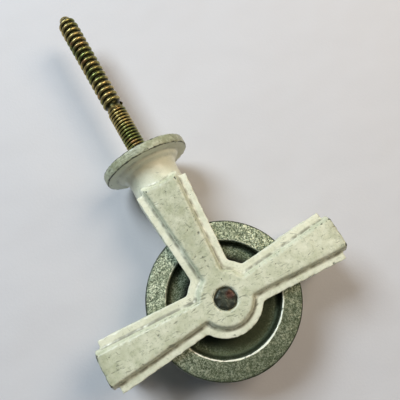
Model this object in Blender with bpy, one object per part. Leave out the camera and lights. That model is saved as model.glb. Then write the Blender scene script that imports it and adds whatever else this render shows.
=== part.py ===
"""Clothes-line pulley on a wall screw.

A cast yoke holds a grooved sheave wheel between two T-shaped cheeks. A rivet is the wheel's axle,
and a hanger bolt in the yoke's flange screws into the wall.

Frame, in metres: the origin is where the bolt leaves the flange's wall face. +Y goes into the wall
along the bolt, +Z runs along the axle towards the front cheek, and +X runs along the right arm.
"""

import math

import bmesh
import bpy
from mathutils import Matrix, Vector

MM = 0.001

# Fits, in millimetres
FIT_GAP = 0.3            # between two pieces that touch
RUNNING_GAP = 0.3        # between the wheel and what it turns against

# Sheave wheel
WHEEL_RADIUS = 29.0
WHEEL_WIDTH = 12.4       # across the two rim faces
RIM_INNER_RADIUS = 21.3
WEB_THICKNESS = 4.6
WHEEL_HUB_RADIUS = 8.0
ROPE_GROOVE_RADIUS = 4.3
RIM_EDGE_ROUND = 0.8
RIM_INNER_CHAMFER = 0.3
WEB_FILLET = 1.2         # where the web meets the hub and the rim
HUB_DRAFT = 0.6

# Axle rivet
AXLE_RADIUS = 3.5
RIVET_HEAD_OVERHANG = 0.45 # how far the head stands out past the axle
RIVET_HEAD_HEIGHT = 1.5
RIVET_DISH_MARGIN = 1.35 # from the head's edge to the dish
RIVET_DISH_DEPTH = 0.15
RIVET_EDGE_ROUND = 0.6
RIVET_SINK = 1.0         # how deep the head sits in the pad

# Yoke: cheeks, pads and arms
HUB_SIDE_PLAY = 0.3      # each side, between the wheel's hub and a cheek
WHEEL_HUB_PROUD = 0.5    # how far the wheel's hub stands out past its rim faces
CHEEK_THICKNESS = 2.4    # from the slot to the ledge
PAD_HEIGHT = 2.1         # from the ledge to the pad's flat face
PAD_DRAFT = 1.3          # how far a pad's side runs out from its face to the ledge
PAD_ROOT = 0.6           # how deep the pad's shape runs on below the ledge
LEDGE_MARGIN = 4.4       # from the pad's edge to the ledge's edge
ROPE_CLEARANCE = 5.0     # from the wheel's edge to the end of the slot
PAD_BOSS_RADIUS = 9.5
ARM_LENGTH = 48.6        # from the axle to the pad's end
ARM_END_OVERHANG = 2.4   # how far the pad's end stands past the ledge's end
ARM_ROOT_HALF_WIDTH = 2.5
ARM_END_HALF_WIDTH = 5.8
STEM_ROOT_HALF_WIDTH = 2.5
STEM_TOP_HALF_WIDTH = 6.2
STEM_PAD_TOP = 48.0      # from the axle to the top of the stem's pad
PAD_TOP_RUN = 2.0        # how far the stem pad's upper end slopes out on to the neck
INNER_CORNER_ROUND = 1.6
END_CORNER_ROUND = 0.5

# Yoke: neck and flange
FLANGE_REACH = 63.6      # from the axle to the flange's wall face
FLANGE_RADIUS = 17.9
FLANGE_THICKNESS = 4.1
FLANGE_EDGE_ROUND = 0.6
NECK_RADIUS = 10.3
NECK_ROOT = 3.0          # how deep the neck's full width runs on into the stem
BEAD_RADIUS = 13.3       # over the round bead under the flange
BEAD_HEIGHT = 1.7
CAVETTO_RADIUS = 11.7    # where the hollow of the neck meets the bead
CAVETTO_HEIGHT = 5.0

# Hanger bolt
THREAD_RADIUS = 3.97
MACHINE_PITCH = 1.411
MACHINE_DEPTH = 0.78
MACHINE_LENGTH = 24.2    # of machine thread outside the flange
PLAIN_LENGTH = 0.4       # between the two threads
PLAIN_STEP = 0.47        # how much smaller the plain shank is than the machine thread
SCREW_RADIUS = 4.1
SCREW_PITCH = 2.6
SCREW_DEPTH = 0.95
SCREW_LENGTH = 46.9
TIP_LENGTH = 1.7
TIP_THINNING = 0.6       # how much smaller the screw thread gets at its tip
TIP_TURNS = 1.5          # turns over which it does so
BOLT_SET_DEPTH = 22.0    # of bolt inside the yoke
BOLT_FOOT_CHAMFER = 0.5
THREAD_RUN_IN = 3.0      # of machine thread inside the yoke
THREAD_FADE = 0.35       # turns over which a thread rises at its ends
THREAD_END_STEP = 0.15   # how far a thread's ends step down to the plain rings beside them
RING_GAP = 0.1           # between a thread's end and the plain ring beside it

# Facets
TURNED_STEPS = 48
RIVET_STEPS = 32
THREAD_STEPS = 16
BOSS_STEPS = 6
SMOOTH_ANGLE = math.radians(35.0)

COLOURS = {
    "cast_paint": ((0.80, 0.82, 0.70, 1.0), 0.45, 0.0),
    "rough_zinc": ((0.33, 0.36, 0.33, 1.0), 0.55, 0.8),
    "dark_rivet": ((0.09, 0.08, 0.07, 1.0), 0.50, 0.7),
    "yellow_zinc": ((0.45, 0.35, 0.14, 1.0), 0.35, 0.9),
}

RIVET_HEAD_RADIUS = AXLE_RADIUS + RIVET_HEAD_OVERHANG
PLAIN_RADIUS = THREAD_RADIUS - PLAIN_STEP

# Heights above the wheel's middle plane
WHEEL_HUB_HALF = WHEEL_WIDTH / 2 + WHEEL_HUB_PROUD
SLOT_HALF = WHEEL_HUB_HALF + HUB_SIDE_PLAY
LEDGE_HEIGHT = SLOT_HALF + CHEEK_THICKNESS
PAD_FACE_HEIGHT = LEDGE_HEIGHT + PAD_HEIGHT
SLOT_RADIUS = WHEEL_RADIUS + ROPE_CLEARANCE
FLANGE_UNDERSIDE = FLANGE_REACH - FLANGE_THICKNESS


def clear_scene():
    """Remove every object that the scene starts with."""
    for existing in list(bpy.data.objects):
        bpy.data.objects.remove(existing, do_unlink=True)


def material(slot):
    """Return the plain material of one slot."""
    colour, roughness, metallic = COLOURS[slot]
    made = bpy.data.materials.new(slot)
    made.use_nodes = True
    shader = made.node_tree.nodes["Principled BSDF"]
    shader.inputs["Base Color"].default_value = colour
    shader.inputs["Roughness"].default_value = roughness
    shader.inputs["Metallic"].default_value = metallic
    return made


def to_object(mesh_edit, name, location=(0.0, 0.0, 0.0), scale=MM):
    """Turn a mesh drawn in millimetres into an object in metres."""
    bmesh.ops.scale(mesh_edit, vec=(scale, scale, scale), verts=mesh_edit.verts)
    bmesh.ops.recalc_face_normals(mesh_edit, faces=mesh_edit.faces)
    mesh = bpy.data.meshes.new(name)
    mesh_edit.to_mesh(mesh)
    mesh_edit.free()
    made = bpy.data.objects.new(name, mesh)
    made.location = Vector(location) * MM
    bpy.context.collection.objects.link(made)
    return made


def finish(piece, slot, parent):
    """Give a piece its material, its shading and its parent."""
    piece.data.materials.append(material(slot))
    piece.data.shade_smooth()
    piece.data.set_sharp_from_angle(angle=SMOOTH_ANGLE)
    piece.parent = parent


def as_tool(piece, parent):
    """Mark an object as one that only shapes another."""
    piece.hide_render = True
    piece.display_type = "WIRE"
    piece.parent = parent
    return piece


def combine(target, tool, operation):
    """Join a tool to the target, or cut the target with it."""
    change = target.modifiers.new(operation.lower() + "_" + tool.name, "BOOLEAN")
    change.operation = operation
    change.solver = "EXACT"
    change.object = tool


def arc(centre, radius, start, stop, steps):
    """Return points on an arc, with the angles in degrees."""
    points = []
    for step in range(steps + 1):
        angle = math.radians(start + (stop - start) * step / steps)
        points.append((centre[0] + radius * math.cos(angle), centre[1] + radius * math.sin(angle)))
    return points


def turned(profile, steps, axis="Z"):
    """Spin a closed profile of (radius, height) points about Z, or lay it along Y."""
    mesh_edit = bmesh.new()
    rings = []
    for radius, height in profile:
        ring = []
        for step in range(steps):
            angle = math.tau * step / steps
            point = (radius * math.cos(angle), radius * math.sin(angle), height)
            ring.append(mesh_edit.verts.new(point))
        rings.append(ring)
    for index, ring in enumerate(rings):
        following = rings[(index + 1) % len(rings)]
        for step in range(steps):
            after = (step + 1) % steps
            mesh_edit.faces.new((ring[step], ring[after], following[after], following[step]))
    if axis == "Y":
        lay_along_y(mesh_edit)
    return mesh_edit


def turned_solid(profile, steps, axis="Z"):
    """Spin an open profile of (radius, height) points and close its two ends with flat caps."""
    mesh_edit = bmesh.new()
    rings = []
    for radius, height in profile:
        rings.append(ring_of_verts(mesh_edit, radius, height, steps))
    join_rings(mesh_edit, rings)
    mesh_edit.faces.new(list(reversed(rings[0])))
    mesh_edit.faces.new(rings[-1])
    if axis == "Y":
        lay_along_y(mesh_edit)
    return mesh_edit


def ring_of_verts(mesh_edit, radius, height, steps):
    """Add one ring of points about Z."""
    ring = []
    for step in range(steps):
        angle = math.tau * step / steps
        ring.append(mesh_edit.verts.new((radius * math.cos(angle), radius * math.sin(angle), height)))
    return ring


def join_rings(mesh_edit, rings):
    """Skin each ring to the next."""
    for lower, upper in zip(rings, rings[1:]):
        for step in range(len(lower)):
            after = (step + 1) % len(lower)
            mesh_edit.faces.new((lower[step], lower[after], upper[after], upper[step]))


def lay_along_y(mesh_edit):
    """Turn a shape drawn along Z so that it runs along +Y."""
    turn = Matrix.Rotation(math.radians(-90.0), 3, "X")
    bmesh.ops.rotate(mesh_edit, cent=(0.0, 0.0, 0.0), matrix=turn, verts=mesh_edit.verts)


def loft(layers):
    """Stack outlines with equal point counts, given as (height, outline), into one solid."""
    mesh_edit = bmesh.new()
    rings = []
    for height, outline in layers:
        rings.append([mesh_edit.verts.new((x, y, height)) for x, y in outline])
    join_rings(mesh_edit, rings)
    mesh_edit.faces.new(list(reversed(rings[0])))
    mesh_edit.faces.new(rings[-1])
    return mesh_edit


def rounded(corners, steps=4):
    """Return an outline whose corners, given as (x, y, round), carry arcs."""
    outline = []
    count = len(corners)
    for index, (x, y, radius) in enumerate(corners):
        here = Vector((x, y))
        if radius <= 0.0:
            outline.append((x, y))
            continue
        before = Vector(corners[index - 1][:2]) - here
        after = Vector(corners[(index + 1) % count][:2]) - here
        half_angle = before.angle(after) / 2
        reach = min(radius / math.tan(half_angle), 0.45 * before.length, 0.45 * after.length)
        start = here + before.normalized() * reach
        stop = here + after.normalized() * reach
        for step in range(steps + 1):
            share = step / steps
            near = start.lerp(here, share)
            far = here.lerp(stop, share)
            outline.append(tuple(near.lerp(far, share)))
    return outline


def edge_meets_boss(point, direction, radius):
    """Return where a limb's edge, followed outwards, leaves the round boss."""
    along = point.dot(direction)
    across = point.length_squared - along * along
    reach = math.sqrt(radius * radius - across)
    return point + direction * (reach - along)


def tee_outline(grow, arm_end, stem_end):
    """Return the outline of the boss, arms and stem, with its sides grown by a margin."""
    boss = PAD_BOSS_RADIUS + grow
    arm_foot = Vector((0.0, ARM_ROOT_HALF_WIDTH + grow))
    arm_tip = Vector((ARM_LENGTH, ARM_END_HALF_WIDTH + grow))
    arm_along = (arm_tip - arm_foot).normalized()
    stem_foot = Vector((STEM_ROOT_HALF_WIDTH + grow, 0.0))
    stem_tip = Vector((STEM_TOP_HALF_WIDTH + grow, STEM_PAD_TOP))
    stem_along = (stem_tip - stem_foot).normalized()
    arm_root = edge_meets_boss(arm_foot, arm_along, boss)
    stem_root = edge_meets_boss(stem_foot, stem_along, boss)
    arm_corner = arm_foot + arm_along * (arm_end / arm_along.x)
    stem_corner = stem_foot + stem_along * (stem_end / stem_along.y)
    arm_angle = math.degrees(math.atan2(arm_root.y, arm_root.x))
    stem_angle = math.degrees(math.atan2(stem_root.y, stem_root.x))

    right = [(stem_corner.x, stem_corner.y, END_CORNER_ROUND)]
    right.append((stem_root.x, stem_root.y, INNER_CORNER_ROUND))
    middle = (stem_angle + arm_angle) / 2
    right.append((boss * math.cos(math.radians(middle)), boss * math.sin(math.radians(middle)), 0.0))
    right.append((arm_root.x, arm_root.y, INNER_CORNER_ROUND))
    right.append((arm_corner.x, arm_corner.y, END_CORNER_ROUND))
    right.append((arm_corner.x, -arm_corner.y, END_CORNER_ROUND))
    right.append((arm_root.x, -arm_root.y, INNER_CORNER_ROUND))
    below = arc((0.0, 0.0), boss, -arm_angle, -90.0, BOSS_STEPS)[1:]
    right.extend((x, y, 0.0) for x, y in below)
    left = [(-x, y, radius) for x, y, radius in reversed(right[:-1])]
    return rounded(right + left)


def yoke_block():
    """Make the ledge block that both cheeks and the stem are cut from."""
    outline = tee_outline(LEDGE_MARGIN, ARM_LENGTH - ARM_END_OVERHANG, STEM_PAD_TOP)
    layers = [(-LEDGE_HEIGHT, outline), (LEDGE_HEIGHT, outline)]
    return loft(layers)


def pad_block():
    """Make the raised pads of both cheeks, as one block with drafted sides."""
    share = (PAD_HEIGHT + PAD_ROOT) / PAD_HEIGHT
    face = tee_outline(0.0, ARM_LENGTH, STEM_PAD_TOP)
    foot = tee_outline(PAD_DRAFT * share, ARM_LENGTH, STEM_PAD_TOP + PAD_TOP_RUN * share)
    foot_height = LEDGE_HEIGHT - PAD_ROOT
    layers = [
        (-PAD_FACE_HEIGHT, face),
        (-foot_height, foot),
        (foot_height, foot),
        (PAD_FACE_HEIGHT, face),
    ]
    return loft(layers)


def neck_and_flange():
    """Make the round neck, its hollow, the bead and the flange, along +Y from inside the stem."""
    rim_foot = FLANGE_RADIUS - FLANGE_EDGE_ROUND
    crease = FLANGE_UNDERSIDE - BEAD_HEIGHT
    profile = [(0.6 * NECK_RADIUS, STEM_PAD_TOP - NECK_ROOT - 0.4 * NECK_RADIUS)]
    profile.append((NECK_RADIUS, STEM_PAD_TOP - NECK_ROOT))
    flare = CAVETTO_RADIUS - NECK_RADIUS
    for step in range(6):
        angle = math.radians(90.0 * step / 5)
        radius = NECK_RADIUS + flare * (1.0 - math.cos(angle))
        profile.append((radius, crease - CAVETTO_HEIGHT * (1.0 - math.sin(angle))))
    bead = BEAD_RADIUS - CAVETTO_RADIUS
    for step in range(1, 5):
        angle = math.radians(90.0 * step / 4)
        height = FLANGE_UNDERSIDE - BEAD_HEIGHT * math.cos(angle)
        profile.append((CAVETTO_RADIUS + bead * math.sin(angle), height))
    low_centre = (rim_foot, FLANGE_UNDERSIDE + FLANGE_EDGE_ROUND)
    high_centre = (rim_foot, FLANGE_REACH - FLANGE_EDGE_ROUND)
    profile.extend(arc(low_centre, FLANGE_EDGE_ROUND, -90.0, 0.0, 3))
    profile.extend(arc(high_centre, FLANGE_EDGE_ROUND, 0.0, 90.0, 3))
    return turned_solid(profile, TURNED_STEPS, axis="Y")


def slot_block():
    """Make the space for the wheel and rope, rounded about the axle at the stem."""
    beyond = ARM_LENGTH + 10.0
    below = PAD_BOSS_RADIUS + LEDGE_MARGIN + 6.0
    shoulder = PAD_BOSS_RADIUS + LEDGE_MARGIN + 1.0
    start = math.degrees(math.asin(shoulder / SLOT_RADIUS))
    outline = [(-beyond, -below), (beyond, -below), (beyond, shoulder)]
    outline.extend(arc((0.0, 0.0), SLOT_RADIUS, start, 180.0 - start, 20))
    outline.append((-beyond, shoulder))
    return loft([(-SLOT_HALF, outline), (SLOT_HALF, outline)])


def axle_hole():
    """Make the hole for the rivet, with a counterbore for each head."""
    shank = AXLE_RADIUS + FIT_GAP
    head = RIVET_HEAD_RADIUS + FIT_GAP
    floor = PAD_FACE_HEIGHT - RIVET_SINK
    past = PAD_FACE_HEIGHT + 3.0
    profile = [(head, -past), (head, -floor), (shank, -floor), (shank, floor), (head, floor), (head, past)]
    return turned_solid(profile, RIVET_STEPS)


def bolt_hole():
    """Make the blind hole for the hanger bolt, along +Y from inside the neck."""
    radius = THREAD_RADIUS + FIT_GAP
    foot = FLANGE_REACH - BOLT_SET_DEPTH - FIT_GAP
    profile = [(radius, foot), (radius, FLANGE_REACH + 5.0)]
    return turned_solid(profile, RIVET_STEPS, axis="Y")


def make_yoke(root):
    """Make the cast yoke: one piece, with its parts joined and its holes cut."""
    axle_place = (0.0, -FLANGE_REACH, 0.0)
    yoke = to_object(yoke_block(), "yoke", axle_place)
    shapes = [
        ("pads", pad_block(), "UNION"),
        ("neck", neck_and_flange(), "UNION"),
        ("slot", slot_block(), "DIFFERENCE"),
        ("axle_hole", axle_hole(), "DIFFERENCE"),
        ("bolt_hole", bolt_hole(), "DIFFERENCE"),
    ]
    for name, mesh_edit, operation in shapes:
        tool = as_tool(to_object(mesh_edit, "shape_" + name, axle_place), root)
        combine(yoke, tool, operation)
    finish(yoke, "cast_paint", root)


def make_wheel(root):
    """Make the sheave wheel, its origin on the axle."""
    bore = AXLE_RADIUS + RUNNING_GAP
    rim_half = WHEEL_WIDTH / 2
    web_half = WEB_THICKNESS / 2
    edge = WHEEL_RADIUS - RIM_EDGE_ROUND
    inner_foot = RIM_INNER_RADIUS - RIM_INNER_CHAMFER
    half = [(bore, WHEEL_HUB_HALF), (WHEEL_HUB_RADIUS - HUB_DRAFT, WHEEL_HUB_HALF)]
    half.append((WHEEL_HUB_RADIUS, web_half + WEB_FILLET))
    half.append((WHEEL_HUB_RADIUS + WEB_FILLET, web_half))
    half.append((inner_foot - WEB_FILLET, web_half))
    half.append((inner_foot, web_half + WEB_FILLET))
    half.append((RIM_INNER_RADIUS, rim_half - RIM_INNER_CHAMFER))
    half.append((RIM_INNER_RADIUS + RIM_INNER_CHAMFER, rim_half))
    half.extend(arc((edge, rim_half - RIM_EDGE_ROUND), RIM_EDGE_ROUND, 90.0, 0.0, 2))
    half.extend(arc((WHEEL_RADIUS, 0.0), ROPE_GROOVE_RADIUS, 90.0, 180.0, 5))
    lower = [(radius, -height) for radius, height in reversed(half[:-1])]
    wheel = to_object(turned(half + lower, TURNED_STEPS), "sheave_wheel", (0.0, -FLANGE_REACH, 0.0))
    finish(wheel, "rough_zinc", root)


def make_rivet(root):
    """Make the axle rivet with its two domed and dished heads."""
    seat = PAD_FACE_HEIGHT - RIVET_SINK + FIT_GAP
    top = seat + RIVET_HEAD_HEIGHT
    edge = RIVET_HEAD_RADIUS - RIVET_EDGE_ROUND
    upper = [(AXLE_RADIUS, seat), (RIVET_HEAD_RADIUS, seat)]
    upper.extend(arc((edge, top - RIVET_EDGE_ROUND), RIVET_EDGE_ROUND, 0.0, 90.0, 3))
    upper.append((RIVET_HEAD_RADIUS - RIVET_DISH_MARGIN, top))
    upper.append((0.5 * (RIVET_HEAD_RADIUS - RIVET_DISH_MARGIN), top - RIVET_DISH_DEPTH))
    lower = [(radius, -height) for radius, height in reversed(upper)]
    rivet = to_object(turned_solid(lower + upper, RIVET_STEPS), "axle_rivet", (0.0, -FLANGE_REACH, 0.0))
    finish(rivet, "dark_rivet", root)


def add_thread(mesh_edit, ring, start, stop, pitch, profile, radius_at):
    """Skin a helical thread on to a ring and return the ring that ends it.

    profile holds the (share of the pitch, depth) points of one turn, and radius_at gives the
    crest's radius and the thread's share of its full depth at a height.
    """
    steps = len(ring)
    columns = len(profile)
    turns = int((stop - start) / pitch) - 1
    deepest = max(depth for share, depth in profile)
    rows = []
    for row in range(turns * steps + 1):
        angle = math.tau * row / steps
        points = []
        for share, depth in profile:
            height = start + pitch * (row / steps + share)
            crest, fullness = radius_at(height)
            radius = crest - deepest + (deepest - depth) * fullness
            points.append(mesh_edit.verts.new((radius * math.cos(angle), radius * math.sin(angle), height)))
        rows.append(points)
    last = turns * steps
    for row in range(last):
        for column in range(columns - 1):
            mesh_edit.faces.new((rows[row][column], rows[row + 1][column],
                                 rows[row + 1][column + 1], rows[row][column + 1]))
    for row in range(last - steps):
        mesh_edit.faces.new((rows[row][-1], rows[row + 1][-1],
                             rows[row + 1 + steps][0], rows[row + steps][0]))
    for row in range(steps):
        after = (row + 1) % steps
        mesh_edit.faces.new((ring[row], ring[after], rows[row + 1][0], rows[row][0]))
    first_cut = [rows[steps][0]] + list(reversed(rows[0]))
    for one, two in zip(first_cut, first_cut[1:]):
        mesh_edit.faces.new((ring[0], one, two))
    closing_radius = radius_at(stop)[0] - deepest - THREAD_END_STEP
    closing = ring_of_verts(mesh_edit, closing_radius, stop, steps)
    for row in range(steps):
        lower = rows[last - steps + row][-1]
        lower_after = rows[last - steps + row + 1][-1]
        mesh_edit.faces.new((lower, lower_after, closing[(row + 1) % steps], closing[row]))
    last_cut = [rows[last - steps][-1]] + rows[last]
    for one, two in zip(last_cut, last_cut[1:]):
        mesh_edit.faces.new((closing[0], one, two))
    return closing


def fade(height, start, stop, pitch):
    """Return a thread's share of its full depth, which rises and falls at its two ends."""
    near = min(height - start, stop - height)
    return min(1.0, max(0.0, near / (THREAD_FADE * pitch)))


def make_bolt(root):
    """Make the hanger bolt: machine thread at the yoke, coarse screw thread towards its tip."""
    mesh_edit = bmesh.new()
    machine_start = -THREAD_RUN_IN
    screw_start = MACHINE_LENGTH + PLAIN_LENGTH
    screw_stop = screw_start + SCREW_LENGTH

    def ring(radius, height):
        return ring_of_verts(mesh_edit, radius, height, THREAD_STEPS)

    def machine_radius(height):
        return THREAD_RADIUS, fade(height, machine_start, MACHINE_LENGTH, MACHINE_PITCH)

    def screw_radius(height):
        taper = max(0.0, 1.0 - (screw_stop - height) / (TIP_TURNS * SCREW_PITCH))
        crest = SCREW_RADIUS - TIP_THINNING * min(1.0, taper)
        return crest, fade(height, screw_start, screw_stop, SCREW_PITCH)

    machine_profile = [(0.0, MACHINE_DEPTH), (0.12, MACHINE_DEPTH), (0.48, 0.0), (0.64, 0.0)]
    screw_profile = [(0.0, SCREW_DEPTH), (0.20, SCREW_DEPTH), (0.46, 0.0), (0.74, 0.0)]

    foot = ring(PLAIN_RADIUS - BOLT_FOOT_CHAMFER, -BOLT_SET_DEPTH)
    foot_edge = ring(PLAIN_RADIUS, -BOLT_SET_DEPTH + BOLT_FOOT_CHAMFER)
    shank_top = ring(PLAIN_RADIUS, machine_start - 2.0 * RING_GAP)
    core = ring(THREAD_RADIUS - MACHINE_DEPTH - THREAD_END_STEP, machine_start - RING_GAP)
    join_rings(mesh_edit, [foot, foot_edge, shank_top, core])
    mesh_edit.faces.new(list(reversed(foot)))
    machine_end = add_thread(mesh_edit, core, machine_start, MACHINE_LENGTH, MACHINE_PITCH,
                             machine_profile, machine_radius)
    plain = ring(PLAIN_RADIUS, MACHINE_LENGTH + RING_GAP)
    plain_end = ring(PLAIN_RADIUS, screw_start - 2.0 * RING_GAP)
    screw_core = ring(SCREW_RADIUS - SCREW_DEPTH - THREAD_END_STEP, screw_start - RING_GAP)
    join_rings(mesh_edit, [machine_end, plain, plain_end, screw_core])
    screw_end = add_thread(mesh_edit, screw_core, screw_start, screw_stop, SCREW_PITCH,
                           screw_profile, screw_radius)
    tip_rings = [screw_end]
    end_radius = SCREW_RADIUS - TIP_THINNING - SCREW_DEPTH - THREAD_END_STEP
    for step in range(1, 5):
        angle = math.radians(75.0 * step / 4)
        height = screw_stop + TIP_LENGTH * math.sin(angle) / math.sin(math.radians(75.0))
        tip_rings.append(ring(end_radius * math.cos(angle), height))
    join_rings(mesh_edit, tip_rings)
    mesh_edit.faces.new(tip_rings[-1])
    lay_along_y(mesh_edit)
    finish(to_object(mesh_edit, "hanger_bolt"), "yellow_zinc", root)


def main():
    """Build the whole pulley."""
    clear_scene()
    root = bpy.data.objects.new("pulley", None)
    bpy.context.collection.objects.link(root)
    make_yoke(root)
    make_wheel(root)
    make_rivet(root)
    make_bolt(root)


if __name__ == "__main__":
    main()
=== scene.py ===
"""Looks of a clothes-line pulley on a wall screw: painted yoke, zinc wheel, rivet, hanger bolt.

Laid out as a Blender add-on. Everything is in metres, in the frame of the CAD model: the origin
is where the bolt leaves the flange, +Y runs into the wall and +Z along the wheel's axle.
"""

import math

import bpy
import numpy as np
from bpy.props import FloatProperty, FloatVectorProperty, IntProperty, PointerProperty
from bpy.types import Operator, Panel, PropertyGroup
from mathutils import Matrix, Vector, noise


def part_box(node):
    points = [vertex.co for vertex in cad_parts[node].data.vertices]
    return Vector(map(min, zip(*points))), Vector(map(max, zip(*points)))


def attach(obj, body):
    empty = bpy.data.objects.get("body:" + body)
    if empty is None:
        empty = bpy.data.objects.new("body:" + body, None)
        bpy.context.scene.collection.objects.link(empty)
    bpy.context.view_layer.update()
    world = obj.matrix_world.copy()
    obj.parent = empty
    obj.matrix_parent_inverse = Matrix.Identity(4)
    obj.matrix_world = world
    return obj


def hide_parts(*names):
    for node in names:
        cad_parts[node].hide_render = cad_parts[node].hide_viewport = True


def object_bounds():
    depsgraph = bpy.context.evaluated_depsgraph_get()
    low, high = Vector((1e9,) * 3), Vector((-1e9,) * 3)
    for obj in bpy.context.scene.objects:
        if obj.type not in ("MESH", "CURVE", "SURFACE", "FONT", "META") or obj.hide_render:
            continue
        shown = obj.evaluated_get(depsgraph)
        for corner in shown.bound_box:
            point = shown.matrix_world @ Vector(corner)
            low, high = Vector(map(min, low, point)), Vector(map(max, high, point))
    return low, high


bl_info = {
    "name": "Clothes-Line Pulley",
    "version": (1, 0, 0),
    "blender": (4, 5, 0),
    "location": "3D View > Sidebar > Pulley",
    "description": "Builds the finished pieces and stage of a screw-in clothes-line pulley",
    "category": "Add Mesh",
}

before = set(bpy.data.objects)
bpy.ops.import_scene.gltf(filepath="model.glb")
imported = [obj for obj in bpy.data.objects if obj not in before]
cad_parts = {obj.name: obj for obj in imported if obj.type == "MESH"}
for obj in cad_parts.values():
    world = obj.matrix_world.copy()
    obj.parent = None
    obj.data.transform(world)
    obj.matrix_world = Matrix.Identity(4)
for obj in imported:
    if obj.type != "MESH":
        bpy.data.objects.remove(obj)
cad_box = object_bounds()

MM = 0.001

wheel_low, wheel_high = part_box("sheave_wheel")
yoke_low, yoke_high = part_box("yoke")
rivet_low, rivet_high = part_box("axle_rivet")
bolt_low, bolt_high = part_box("hanger_bolt")
AXLE = (wheel_low + wheel_high) / 2
WHEEL_RADIUS = (wheel_high.x - wheel_low.x) / 2
WHEEL_HUB_HALF = (wheel_high.z - wheel_low.z) / 2
RIVET_RADIUS = (rivet_high.x - rivet_low.x) / 2
FLANGE_RADIUS = (yoke_high.z - yoke_low.z) / 2
ARM_REACH = yoke_high.x


# ---------------- settings

LARGEST = 0.2                # no size on the pulley is more than this


def size_property(name, description, default):
    """A length in metres."""
    return FloatProperty(name=name, description=description, default=default, min=0.0, max=LARGEST,
                         subtype="DISTANCE", unit="LENGTH", precision=5)


def colour_property(name, description, default):
    """A scene-linear colour."""
    return FloatVectorProperty(name=name, description=description, default=default, size=3,
                               subtype="COLOR", min=0.0, max=1.0)


def share_property(name, description, default, high=1.0):
    """A plain amount."""
    return FloatProperty(name=name, description=description, default=default, min=0.0, max=high)


def power_property(name, description, default):
    """A light's power in watts."""
    return FloatProperty(name=name, description=description, default=default, unit="POWER")


class CastingSettings(PropertyGroup):
    """Sizes and colours of the painted yoke."""

    grid: size_property("Mesh size", "Edge length of the casting's fine mesh", 0.36 * MM)
    rounding: IntProperty(name="Rounding", description="Smoothing passes over the edges", default=4)
    waviness: size_property("Waviness", "Height of the casting's slow hollows", 0.16 * MM)
    peel: size_property("Paint thickness change", "Height of the thick paint's sags", 0.06 * MM)
    nick: size_property("Nicks", "Depth of the dents along the edges", 0.30 * MM)
    paint: colour_property("Paint", "Clean cream paint", (0.83, 0.84, 0.66))
    stained_paint: colour_property("Stained paint", "Paint greyed by handling", (0.52, 0.55, 0.37))
    # dirt and painted shade in the corners
    grime_and_shade: colour_property("Grime and shade", "Dirt and painted shade in the corners", (0.17, 0.16, 0.10))
    bare: colour_property("Bare metal", "Metal where the paint has gone", (0.045, 0.048, 0.035))
    wear: share_property("Wear", "How much paint has gone from the edges", 0.5)


class WheelSettings(PropertyGroup):
    """Sizes and colours of the zinc wheel."""

    rim_inner_radius: size_property("Rim inner radius", "Where the rim drops to the web", 21.3 * MM)
    rim_half_width: size_property("Rim half width", "From the middle plane to a rim face", 6.2 * MM)
    web_half_width: size_property("Web half width", "From the middle plane to the web", 2.3 * MM)
    hub_radius: size_property("Hub radius", "Round hub beside each cheek", 8.0 * MM)
    bore_radius: size_property("Bore radius", "Hole for the rivet", 3.8 * MM)
    groove_radius: size_property("Groove radius", "Half-round groove for the line", 4.3 * MM)
    sand: size_property("Sand texture", "Height of the casting's grain", 0.07 * MM)
    dark_zinc: colour_property("Dark zinc", "Pits and shaded grain", (0.04, 0.056, 0.032))
    mid_zinc: colour_property("Zinc", "Dull zinc", (0.28, 0.345, 0.235))
    bright_zinc: colour_property("Bright zinc", "Rubbed grain and edges", (0.78, 0.84, 0.64))


class RivetSettings(PropertyGroup):
    """Sizes and colours of the axle rivet."""

    shank_radius: size_property("Shank radius", "Axle that the wheel turns on", 3.5 * MM)
    head_height: size_property("Head height", "From the head's seat to its rim", 1.5 * MM)
    dish_radius: size_property("Dish radius", "Flat struck by the riveting tool", 2.5 * MM)
    dish_depth: size_property("Dish depth", "Depth of the struck flat", 0.12 * MM)
    steel: colour_property("Steel", "Oxidised steel", (0.035, 0.04, 0.028))
    rubbed: colour_property("Rubbed steel", "Steel where it is handled", (0.10, 0.115, 0.08))
    rust: colour_property("Rust", "Red-brown patch", (0.085, 0.024, 0.015))


class BoltSettings(PropertyGroup):
    """Sizes and colours of the hanger bolt."""

    machine_radius: size_property("Machine radius", "Over the fine thread's crests", 3.97 * MM)
    machine_pitch: size_property("Machine pitch", "Fine thread", 1.411 * MM)
    machine_depth: size_property("Machine depth", "Fine thread's depth", 0.78 * MM)
    machine_length: size_property("Machine length", "Fine thread outside the flange", 24.2 * MM)
    plain_length: size_property("Plain length", "Between the two threads", 0.4 * MM)
    screw_radius: size_property("Screw radius", "Over the coarse thread's crests", 4.1 * MM)
    screw_pitch: size_property("Screw pitch", "Coarse thread", 2.6 * MM)
    screw_depth: size_property("Screw depth", "Coarse thread's depth", 0.95 * MM)
    gold: colour_property("Gold", "Yellow-passivated crest", (0.52, 0.41, 0.155))
    green: colour_property("Green", "Greener passivation", (0.235, 0.26, 0.08))
    pink: colour_property("Pink", "Redder passivation", (0.42, 0.24, 0.10))
    # painted shade in the thread's roots, where the crests shade them; also used for dark streaks
    root: colour_property("Root", "Painted shade in the thread's roots", (0.03, 0.028, 0.008))


class StageSettings(PropertyGroup):
    """Floor, lights and camera."""

    floor_colour: colour_property("Floor", "Pale cloth-white floor", (0.68, 0.675, 0.69))
    key_power: power_property("Key", "Power of the main light", 5.7)
    warm_power: power_property("Warm", "Power of the warm side light", 1.1)
    ceiling_power: power_property("Ceiling", "Power of the overhead light", 1.2)
    sky_strength: share_property("Sky", "Strength of the soft light all round", 0.07, high=5.0)
    lens: FloatProperty(name="Lens", description="Focal length", default=37.5, unit="CAMERA")


# ---------------- mesh making


def put_in_scene(thing):
    """Add an object to the scene."""
    bpy.context.scene.collection.objects.link(thing)


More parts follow.
